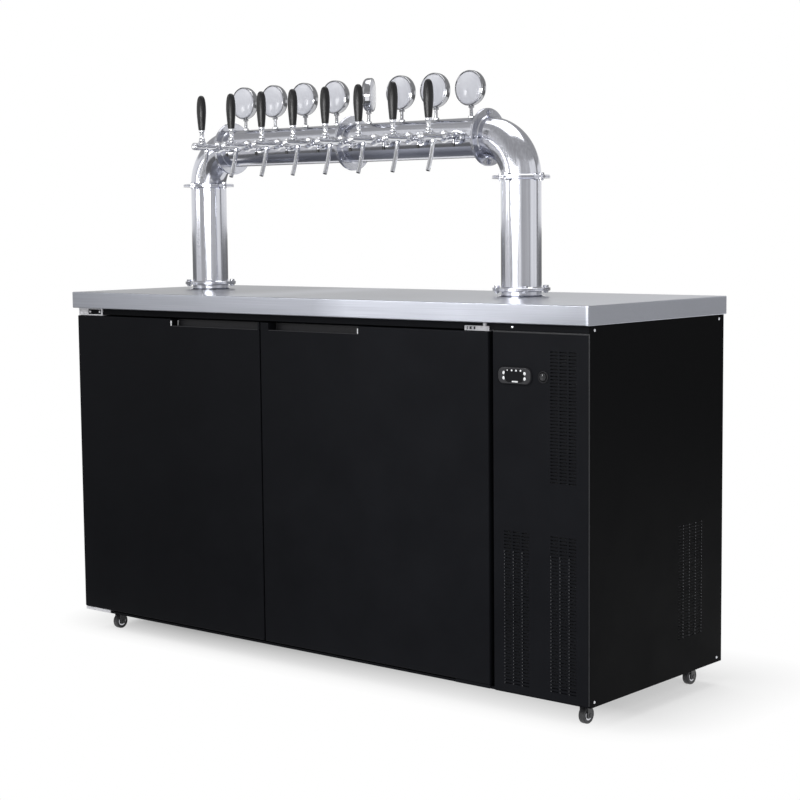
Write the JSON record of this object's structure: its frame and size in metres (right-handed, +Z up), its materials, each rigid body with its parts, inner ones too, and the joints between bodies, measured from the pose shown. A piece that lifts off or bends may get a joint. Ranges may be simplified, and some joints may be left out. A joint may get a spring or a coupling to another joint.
{
  "type": "draft beer dispenser",
  "caption": "Black two-door keg cooler on casters with a steel worktop and a bolted polished pipe tower carrying a row of chrome taps with black handles.",
  "frame": {"origin": "on the floor, under the middle of the worktop", "axes": "+Z up; +X to the right seen from the front; -Y towards the person who pours, the side of the doors and taps"},
  "size_m": [1.755, 0.6, 1.5393],
  "materials": {
    "black_paint": "satin",
    "brushed_top": "brushed",
    "polished_tube": "polished",
    "chrome": "polished",
    "grip": "gloss",
    "medallion": "gloss",
    "dark_plastic": "satin",
    "tread": "matte",
    "machine_paint": "matte"
  },
  "bodies": {
    "cabinet": {"cabinet_shell": "black_paint", "worktop": "brushed_top", "service_panel": "black_paint", "side_panel": "black_paint", "temperature_controller": "dark_plastic", "condensing_unit": "machine_paint", "left_top_hinge": "chrome", "left_bottom_hinge": "chrome", "right_top_hinge": "chrome", "right_bottom_hinge": "chrome", "left_column": "polished_tube", "right_column": "polished_tube", "left_elbow": "polished_tube", "right_elbow": "polished_tube", "beam_left_half": "polished_tube", "beam_right_half": "polished_tube", "tap_body_1": "chrome", "tap_body_2": "chrome", "tap_body_3": "chrome", "tap_body_4": "chrome", "tap_body_5": "chrome", "tap_body_6": "chrome", "tap_body_7": "chrome", "tap_body_8": "chrome", "medallion_1": "medallion", "medallion_2": "medallion", "medallion_3": "medallion", "medallion_4": "medallion", "medallion_5": "medallion", "medallion_6": "medallion", "medallion_7": "medallion", "medallion_8": "medallion"},
    "left_door": {"left_door": "black_paint"},
    "right_door": {"right_door": "black_paint"},
    "light_switch": {"light_switch": "dark_plastic"},
    "condenser_fan": {"condenser_fan": "dark_plastic"},
    "tap_handle_1": {"tap_handle_1": "grip"},
    "flow_lever_1": {"flow_lever_1": "chrome"},
    "tap_handle_2": {"tap_handle_2": "grip"},
    "flow_lever_2": {"flow_lever_2": "chrome"},
    "tap_handle_3": {"tap_handle_3": "grip"},
    "flow_lever_3": {"flow_lever_3": "chrome"},
    "tap_handle_4": {"tap_handle_4": "grip"},
    "flow_lever_4": {"flow_lever_4": "chrome"},
    "tap_handle_5": {"tap_handle_5": "grip"},
    "flow_lever_5": {"flow_lever_5": "chrome"},
    "tap_handle_6": {"tap_handle_6": "grip"},
    "flow_lever_6": {"flow_lever_6": "chrome"},
    "tap_handle_7": {"tap_handle_7": "grip"},
    "flow_lever_7": {"flow_lever_7": "chrome"},
    "tap_handle_8": {"tap_handle_8": "grip"},
    "flow_lever_8": {"flow_lever_8": "chrome"},
    "front_left_caster_fork": {"front_left_caster_fork": "chrome"},
    "front_left_caster_wheel": {"front_left_caster_wheel": "tread"},
    "front_right_caster_fork": {"front_right_caster_fork": "chrome"},
    "front_right_caster_wheel": {"front_right_caster_wheel": "tread"},
    "rear_left_caster_fork": {"rear_left_caster_fork": "chrome"},
    "rear_left_caster_wheel": {"rear_left_caster_wheel": "tread"},
    "rear_right_caster_fork": {"rear_right_caster_fork": "chrome"},
    "rear_right_caster_wheel": {"rear_right_caster_wheel": "tread"}
  },
  "joints": [
    {"name": "left_door_hinge", "type": "hinge", "parent": "cabinet", "child": "left_door", "pos_m": [-0.8585, -0.272, 0.4875], "axis": [0, 0, 1], "range_deg": [-110, 0]},
    {"name": "right_door_hinge", "type": "hinge", "parent": "cabinet", "child": "right_door", "pos_m": [0.5735, -0.272, 0.4875], "axis": [0, 0, 1], "range_deg": [0, 110]},
    {"name": "light_switch_rock", "type": "hinge", "parent": "cabinet", "child": "light_switch", "pos_m": [0.745, -0.281, 0.8065], "axis": [1, 0, 0], "range_deg": [-8, 8]},
    {"name": "condenser_fan_spin", "type": "hinge", "parent": "cabinet", "child": "condenser_fan", "pos_m": [0.7371, -0.2149, 0.2003], "axis": [0, 1, 0], "continuous": true},
    {"name": "tap_handle_1_pull", "type": "hinge", "parent": "cabinet", "child": "tap_handle_1", "pos_m": [-0.5235, -0.122, 1.3878], "axis": [1, 0, 0], "range_deg": [0, 35]},
    {"name": "flow_lever_1_turn", "type": "hinge", "parent": "cabinet", "child": "flow_lever_1", "pos_m": [-0.5235, -0.046, 1.3698], "axis": [1, 0, 0], "range_deg": [-45, 45]},
    {"name": "tap_handle_2_pull", "type": "hinge", "parent": "cabinet", "child": "tap_handle_2", "pos_m": [-0.4085, -0.122, 1.3878], "axis": [1, 0, 0], "range_deg": [0, 35]},
    {"name": "flow_lever_2_turn", "type": "hinge", "parent": "cabinet", "child": "flow_lever_2", "pos_m": [-0.4085, -0.046, 1.3698], "axis": [1, 0, 0], "range_deg": [-45, 45]},
    {"name": "tap_handle_3_pull", "type": "hinge", "parent": "cabinet", "child": "tap_handle_3", "pos_m": [-0.2935, -0.122, 1.3878], "axis": [1, 0, 0], "range_deg": [0, 35]},
    {"name": "flow_lever_3_turn", "type": "hinge", "parent": "cabinet", "child": "flow_lever_3", "pos_m": [-0.2935, -0.046, 1.3698], "axis": [1, 0, 0], "range_deg": [-45, 45]},
    {"name": "tap_handle_4_pull", "type": "hinge", "parent": "cabinet", "child": "tap_handle_4", "pos_m": [-0.1785, -0.122, 1.3878], "axis": [1, 0, 0], "range_deg": [0, 35]},
    {"name": "flow_lever_4_turn", "type": "hinge", "parent": "cabinet", "child": "flow_lever_4", "pos_m": [-0.1785, -0.046, 1.3698], "axis": [1, 0, 0], "range_deg": [-45, 45]},
    {"name": "tap_handle_5_pull", "type": "hinge", "parent": "cabinet", "child": "tap_handle_5", "pos_m": [-0.0635, -0.122, 1.3878], "axis": [1, 0, 0], "range_deg": [0, 35]},
    {"name": "flow_lever_5_turn", "type": "hinge", "parent": "cabinet", "child": "flow_lever_5", "pos_m": [-0.0635, -0.046, 1.3698], "axis": [1, 0, 0], "range_deg": [-45, 45]},
    {"name": "tap_handle_6_pull", "type": "hinge", "parent": "cabinet", "child": "tap_handle_6", "pos_m": [0.0515, -0.122, 1.3878], "axis": [1, 0, 0], "range_deg": [0, 35]},
    {"name": "flow_lever_6_turn", "type": "hinge", "parent": "cabinet", "child": "flow_lever_6", "pos_m": [0.0515, -0.046, 1.3698], "axis": [1, 0, 0], "range_deg": [-45, 45]},
    {"name": "tap_handle_7_pull", "type": "hinge", "parent": "cabinet", "child": "tap_handle_7", "pos_m": [0.1665, -0.122, 1.3878], "axis": [1, 0, 0], "range_deg": [0, 35]},
    {"name": "flow_lever_7_turn", "type": "hinge", "parent": "cabinet", "child": "flow_lever_7", "pos_m": [0.1665, -0.046, 1.3698], "axis": [1, 0, 0], "range_deg": [-45, 45]},
    {"name": "tap_handle_8_pull", "type": "hinge", "parent": "cabinet", "child": "tap_handle_8", "pos_m": [0.2815, -0.122, 1.3878], "axis": [1, 0, 0], "range_deg": [0, 35]},
    {"name": "flow_lever_8_turn", "type": "hinge", "parent": "cabinet", "child": "flow_lever_8", "pos_m": [0.2815, -0.046, 1.3698], "axis": [1, 0, 0], "range_deg": [-45, 45]},
    {"name": "front_left_caster_swivel", "type": "hinge", "parent": "cabinet", "child": "front_left_caster_fork", "pos_m": [-0.8105, -0.224, 0.05], "axis": [0, 0, 1], "continuous": true},
    {"name": "front_left_caster_roll", "type": "hinge", "parent": "front_left_caster_fork", "child": "front_left_caster_wheel", "pos_m": [-0.8105, -0.21, 0.0206], "axis": [1, 0, 0], "continuous": true},
    {"name": "front_right_caster_swivel", "type": "hinge", "parent": "cabinet", "child": "front_right_caster_fork", "pos_m": [0.8105, -0.224, 0.05], "axis": [0, 0, 1], "continuous": true},
    {"name": "front_right_caster_roll", "type": "hinge", "parent": "front_right_caster_fork", "child": "front_right_caster_wheel", "pos_m": [0.8105, -0.21, 0.0206], "axis": [1, 0, 0], "continuous": true},
    {"name": "rear_left_caster_swivel", "type": "hinge", "parent": "cabinet", "child": "rear_left_caster_fork", "pos_m": [-0.8105, 0.232, 0.05], "axis": [0, 0, 1], "continuous": true},
    {"name": "rear_left_caster_roll", "type": "hinge", "parent": "rear_left_caster_fork", "child": "rear_left_caster_wheel", "pos_m": [-0.8105, 0.246, 0.0206], "axis": [1, 0, 0], "continuous": true},
    {"name": "rear_right_caster_swivel", "type": "hinge", "parent": "cabinet", "child": "rear_right_caster_fork", "pos_m": [0.8105, 0.232, 0.05], "axis": [0, 0, 1], "continuous": true},
    {"name": "rear_right_caster_roll", "type": "hinge", "parent": "rear_right_caster_fork", "child": "rear_right_caster_wheel", "pos_m": [0.8105, 0.246, 0.0206], "axis": [1, 0, 0], "continuous": true}
  ]
}
